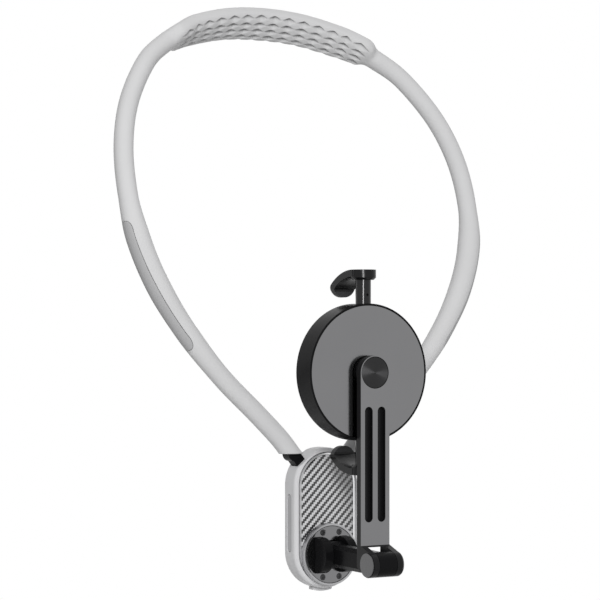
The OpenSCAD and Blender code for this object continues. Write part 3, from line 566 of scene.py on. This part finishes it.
def carbon(name):
    """Glossy twill: tows over and under each other, so that ropes run up to the right. The warp tows
    carry a painted sheen that makes them pale.
    """
    mat, tree, bsdf = shader(name, (0.05, 0.05, 0.052), 0.3)
    split = node(tree, "ShaderNodeSeparateXYZ")
    tree.links.new(coords(tree), split.inputs[0])
    u, v = (math_node(tree, "DIVIDE", split.outputs[k], TOW) for k in (0, 2))
    whole = (math_node(tree, "FLOOR", value) for value in (u, v))
    turn = math_node(tree, "FLOORED_MODULO", math_node(tree, "SUBTRACT", *whole), TWILL)
    over = math_node(tree, "LESS_THAN", turn, 1.5)

    def crown(value):
        fraction = math_node(tree, "FRACT", value)
        return math_node(tree, "SINE", math_node(tree, "MULTIPLY", fraction, pi))

    def fibres(tones, scale_x, scale_z):
        lines = noise(tree, stretched(tree, (scale_x, 1, scale_z)), scale=1.0, detail=2)
        return blend_colour(tree, lines, *tones)

    # Painted sheen: the warp tows are pale only because of it
    sheen_warp = fibres(PAINTED_SHEEN_WARP, FIBRE_FINE, FIBRE_LONG)
    weft = fibres(WEFT, FIBRE_LONG, FIBRE_FINE)
    tree.links.new(blend_colour(tree, over, weft, sheen_warp), bsdf.inputs["Base Color"])
    height = node(tree, "ShaderNodeMix")
    tree.links.new(over, height.inputs[0])
    tree.links.new(crown(v), height.inputs[2])
    tree.links.new(crown(u), height.inputs[3])
    bump(tree, bsdf, height.outputs[0], strength=0.5, distance=0.0001)
    bsdf.inputs["Coat Weight"].default_value = 0.8
    bsdf.inputs["Coat Roughness"].default_value = 0.05
    return mat


def give(material, *names):
    """Makes a material the only one of the CAD pieces named."""
    for name in names:
        obj = nodes[name]
        obj.data.materials.clear()
        obj.data.materials.append(material)


SILICONE, INLAY_GREY = (0.62, 0.62, 0.625), (0.43, 0.43, 0.435)
SHELL, BUTTON_GREY = (0.62, 0.62, 0.63), (0.42, 0.42, 0.43)
BLACK, RUBBER_BLACK = (0.006, 0.006, 0.0065), (0.035, 0.035, 0.037)
FACE, PIN_GREY = (0.205, 0.205, 0.21), (0.12, 0.12, 0.122)
BRIGHT, RING_GREY, STEEL = (0.8, 0.8, 0.81), (0.42, 0.42, 0.43), (0.5, 0.5, 0.51)
SCREW_BLACK, CAP_BLACK, TAN = (0.06, 0.06, 0.062), (0.04, 0.04, 0.041), (0.5, 0.45, 0.36)

# The silicone has painted shade in its pits and other hollow places
silicone = moulded("silicone", SILICONE, 0.5, grain=1500, depth=0.2, spread=0.03, specular=0.25,
                   painted_hollow_shade=True)
inlay_mat = moulded("inlay", INLAY_GREY, 0.62, grain=1500, depth=0.2, spread=0.03, specular=0.25)
shell_mat = moulded("shell", SHELL, 0.42, grain=1800, depth=0.12, spread=0.02, specular=0.3)
button_mat = moulded("button", BUTTON_GREY, 0.4, grain=1800, depth=0.12, spread=0.02, specular=0.3)
gloss_black = moulded("gloss_black", BLACK, 0.3, grain=700, depth=0.1, spread=0.2, specular=0.06)
polished = moulded("polished_black", BLACK, 0.14, grain=700, depth=0.04, spread=0.2, specular=0.3)
claw_mat = moulded("claw_finish", BLACK, 0.2, grain=700, depth=0.06, spread=0.2, specular=0.18)
dark_rubber = moulded("dark_rubber", RUBBER_BLACK, 0.6, grain=1500, depth=0.4, spread=0.15,
                      specular=0.3)
grey_face = moulded("grey_face", FACE, 0.16, grain=1600, depth=0.04, spread=0.03, metallic=1.0)
pin_mat = moulded("pin_finish", PIN_GREY, 0.25, grain=1600, depth=0.06, spread=0.05, metallic=1.0)
# The arm's front face carries a painted reflection; its sides stay black
arm_mat = painted_front_reflection("arm_painted_reflection", FACE, BLACK, 0.16, 0.3, at(0, ARM_FRONT, 0))
link_mat = moulded("link_finish", BLACK, 0.26, grain=700, depth=0.1, spread=0.2, specular=0.05)
bright = brushed("bright_trim", BRIGHT, 0.32, (1, 0.2, 1), spread=0.04)
ring_metal = brushed("ring_metal", RING_GREY, 0.32, (1, 0.2, 1), spread=0.05)
steel = brushed("steel", STEEL, 0.3, (1, 0.1, 1))
screw_mat = brushed("screw_finish", SCREW_BLACK, 0.3, (1, 0.3, 1))
carbon_mat = carbon("carbon_weave")
tan = moulded("washer", TAN, 0.5)
cap_mat = turned("turned_cap", CAP_BLACK, 0.45)

give(shell_mat, "rear_cover", "release_button")
give(button_mat, "left_side_button", "right_side_button")
give(bright, "front_frame")
give(ring_metal, "turntable_ring")
give(carbon_mat, "carbon_plate")
give(grey_face, "turntable_plate", "disc_face")
give(pin_mat, "arm_hinge_pin")
give(screw_mat, "turntable_screws", "cover_screws")
give(link_mat, "clevis", "clevis_pin", "swivel_link")
give(polished, "upper_post", "lower_post")
give(claw_mat, "upper_claw", "lower_claw")
give(arm_mat, "arm")
give(gloss_black, "disc_housing", "pivot_spacer", "left_arm_root", "right_arm_root")
give(dark_rubber, "phone_pad", "upper_lip_tip", "lower_lip_tip")
give(steel, "neck_wire", "disc_spindle", "turntable_retainer", "magnet_ring", "magnet_backing",
     "left_button_spring", "right_button_spring", "release_spring")
give(tan, "friction_washer", "clevis_washers")


# ---------------------------------------------------------------- edges of the CAD pieces
WELD_M, BEVEL_SEGMENTS, BEVEL_ANGLE, FLAT_WEIGHT = 0.000002, 2, radians(32), 100
BEVELS = {
    "rear_cover": 0.12, "front_frame": 0.12, "carbon_plate": 0.05,
    "turntable_ring": 0.18, "turntable_plate": 0.08, "turntable_screws": 0.06,
    "clevis": 0.35, "swivel_link": 0.4, "arm": 0.3, "arm_hinge_pin": 0.2, "pivot_spacer": 0.2,
    "disc_housing": 0.5, "disc_face": 0.12, "phone_pad": 0.2,
    "upper_claw": 0.45, "lower_claw": 0.45, "upper_post": 0.15, "lower_post": 0.15,
    "upper_lip_tip": 0.3, "lower_lip_tip": 0.3,
    "left_side_button": 0.2, "right_side_button": 0.2, "release_button": 0.3,
    "left_arm_root": 0.2, "right_arm_root": 0.2, "cover_screws": 0.1}


def soften(name, width):
    """Merges a CAD piece's split points and rounds its edges a little."""
    obj = nodes[name]
    for p in obj.data.polygons:
        p.use_smooth = True
    weld = obj.modifiers.new("weld", "WELD")
    weld.merge_threshold = WELD_M
    bevel = obj.modifiers.new("bevel", "BEVEL")
    bevel.width = width * MM
    bevel.segments = BEVEL_SEGMENTS
    bevel.limit_method = "ANGLE"
    bevel.angle_limit = BEVEL_ANGLE
    bevel.use_clamp_overlap = True
    flat = obj.modifiers.new("flat", "WEIGHTED_NORMAL")
    flat.weight = FLAT_WEIGHT


for name, width in BEVELS.items():
    soften(name, width)

# ---------------------------------------------------------------- the pieces and their bodies
skin = sleeve()
skin.data.materials.append(silicone)
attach(skin, "neck_frame")
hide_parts("neck_sleeve")
for side, word in ((-1, "left"), (1, "right")):
    strip = inlay(side)
    strip.data.materials.append(inlay_mat)
    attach(strip, "neck_frame")
    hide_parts(word + "_arm_inlay")

button = cap()
button.data.materials.append(cap_mat)
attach(button, "disc")
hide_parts("pivot_cap")

# Each spring is held at its button
SIDE_TRAVEL, RELEASE_TRAVEL = 1.0, 1.2
for word, body, joint, axis, ahead, travel in (
        ("left_button_spring", "left_side_button", "left_side_press", 0, -1, SIDE_TRAVEL),
        ("right_button_spring", "right_side_button", "right_side_press", 0, 1, SIDE_TRAVEL),
        ("release_spring", "release_button", "release_press", 2, -1, RELEASE_TRAVEL)):
    wound, length, end = coil(word, axis, ahead)
    wound.data.materials.append(steel)
    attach(wound, body)
    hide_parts(word)
    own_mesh(wound)

# ---------------------------------------------------------------- camera
# The photo's frame, focal length and horizon are in its pixels. It was taken from PHOTO_SIDE
# degrees to the left of the front
PHOTO, FOCAL, HORIZON = 600, 2170, 332
PHOTO_SIDE = 31
camera_data = bpy.data.cameras.new("camera")
camera_data.sensor_width = 36
camera_data.lens = camera_data.sensor_width * FOCAL / PHOTO
camera_data.shift_y = (HORIZON - PHOTO / 2) / PHOTO
camera_data.clip_start, camera_data.clip_end = 0.05, 20
camera = bpy.data.objects.new("camera", camera_data)
camera.location = at(-515.5, -833.8, 100.2)
camera.rotation_euler = (radians(90), 0, -radians(PHOTO_SIDE))
bpy.context.scene.collection.objects.link(camera)
bpy.context.scene.camera = camera

# ---------------------------------------------------------------- lamps, in metres
CENTRE = at(0, 0, 100)


def around(azimuth, height, distance):
    """A place at an azimuth seen from above: 0 is in front of the holder, 90 is to its right."""
    a = radians(azimuth)
    return CENTRE + Vector((sin(a) * distance, -cos(a) * distance, height))


def lamp(name, spot, size, power, mirrored=False, tall=None):
    """A soft lamp at a spot, which looks at the centre. Only a mirrored one shows in gloss."""
    data = bpy.data.lights.new(name, "AREA")
    data.size = size
    if tall:
        data.shape = "RECTANGLE"
        data.size_y = tall
    data.energy = power
    obj = bpy.data.objects.new(name, data)
    obj.visible_glossy = mirrored
    obj.location = spot
    obj.rotation_euler = (CENTRE - spot).to_track_quat("-Z", "Y").to_euler()
    bpy.context.scene.collection.objects.link(obj)
    return obj


lamp("key", around(-PHOTO_SIDE, 0.5, 1.37), size=0.6, power=18.6)
# A tall strip that only glints on the polished rods, claws and cap
glint = lamp("glint", around(-PHOTO_SIDE, 0.18, 1.3), size=0.26, power=20, mirrored=True, tall=0.9)
glint.visible_diffuse = False
polished_pieces = bpy.data.collections.new("polished_pieces")
for name in ("upper_post", "lower_post", "upper_claw", "lower_claw"):
    polished_pieces.objects.link(nodes[name])
polished_pieces.objects.link(button)
glint.light_linking.receiver_collection = polished_pieces
lamp("side", around(75, 0.3, 1.2), size=0.5, power=2)
lamp("top", CENTRE + Vector((0.0, 0.1, 1.3)), size=1.0, power=2)
lamp("back", around(180 - PHOTO_SIDE, 0.5, 1.3), size=0.8, power=9)

# ---------------------------------------------------------------- world and floor
WORLD_LIGHT, WHITE = (0.16, 0.16, 0.16), (1.0, 1.0, 1.0)
world = bpy.data.worlds.new("world")
bpy.context.scene.world = world
world.use_nodes = True
tree = world.node_tree
rays = tree.nodes.new("ShaderNodeLightPath").outputs
seen = math_node(tree, "MAXIMUM", rays["Is Camera Ray"], rays["Is Transmission Ray"])
seen = math_node(tree, "MAXIMUM", seen, rays["Is Glossy Ray"])
backdrop = blend_colour(tree, seen, WORLD_LIGHT, WHITE)
tree.links.new(backdrop, tree.nodes["Background"].inputs["Color"])

# A round pale floor, solid to a share of its radius and fading out beyond it
FLOOR_BACK, FLOOR_DROP = 20, -190
FLOOR_R, FLOOR_SOLID = 0.62, 0.35
FLOOR_GREY = (0.86, 0.86, 0.86)
bm = bmesh.new()
bmesh.ops.create_circle(bm, cap_ends=True, radius=FLOOR_R, segments=96)
floor_mesh = bpy.data.meshes.new("floor")
bm.to_mesh(floor_mesh)
bm.free()
floor = bpy.data.objects.new("floor", floor_mesh)
floor.location = at(0, FLOOR_BACK, FLOOR_DROP)
bpy.context.scene.collection.objects.link(floor)
floor_mat, tree, bsdf = shader("floor", FLOOR_GREY, 0.7)
where = node(tree, "ShaderNodeVectorMath", operation="LENGTH")
tree.links.new(coords(tree), where.inputs[0])
fade = node(tree, "ShaderNodeMapRange", interpolation_type="SMOOTHSTEP")
fade.inputs["From Min"].default_value = FLOOR_R * FLOOR_SOLID
fade.inputs["From Max"].default_value = FLOOR_R
tree.links.new(where.outputs["Value"], fade.inputs["Value"])
clear = tree.nodes.new("ShaderNodeBsdfTransparent")
mixed = tree.nodes.new("ShaderNodeMixShader")
tree.links.new(fade.outputs[0], mixed.inputs[0])
tree.links.new(bsdf.outputs[0], mixed.inputs[1])
tree.links.new(clear.outputs[0], mixed.inputs[2])
tree.links.new(mixed.outputs[0], tree.nodes["Material Output"].inputs["Surface"])
floor_mesh.materials.append(floor_mat)

bpy.context.scene.view_settings.view_transform = "Standard"
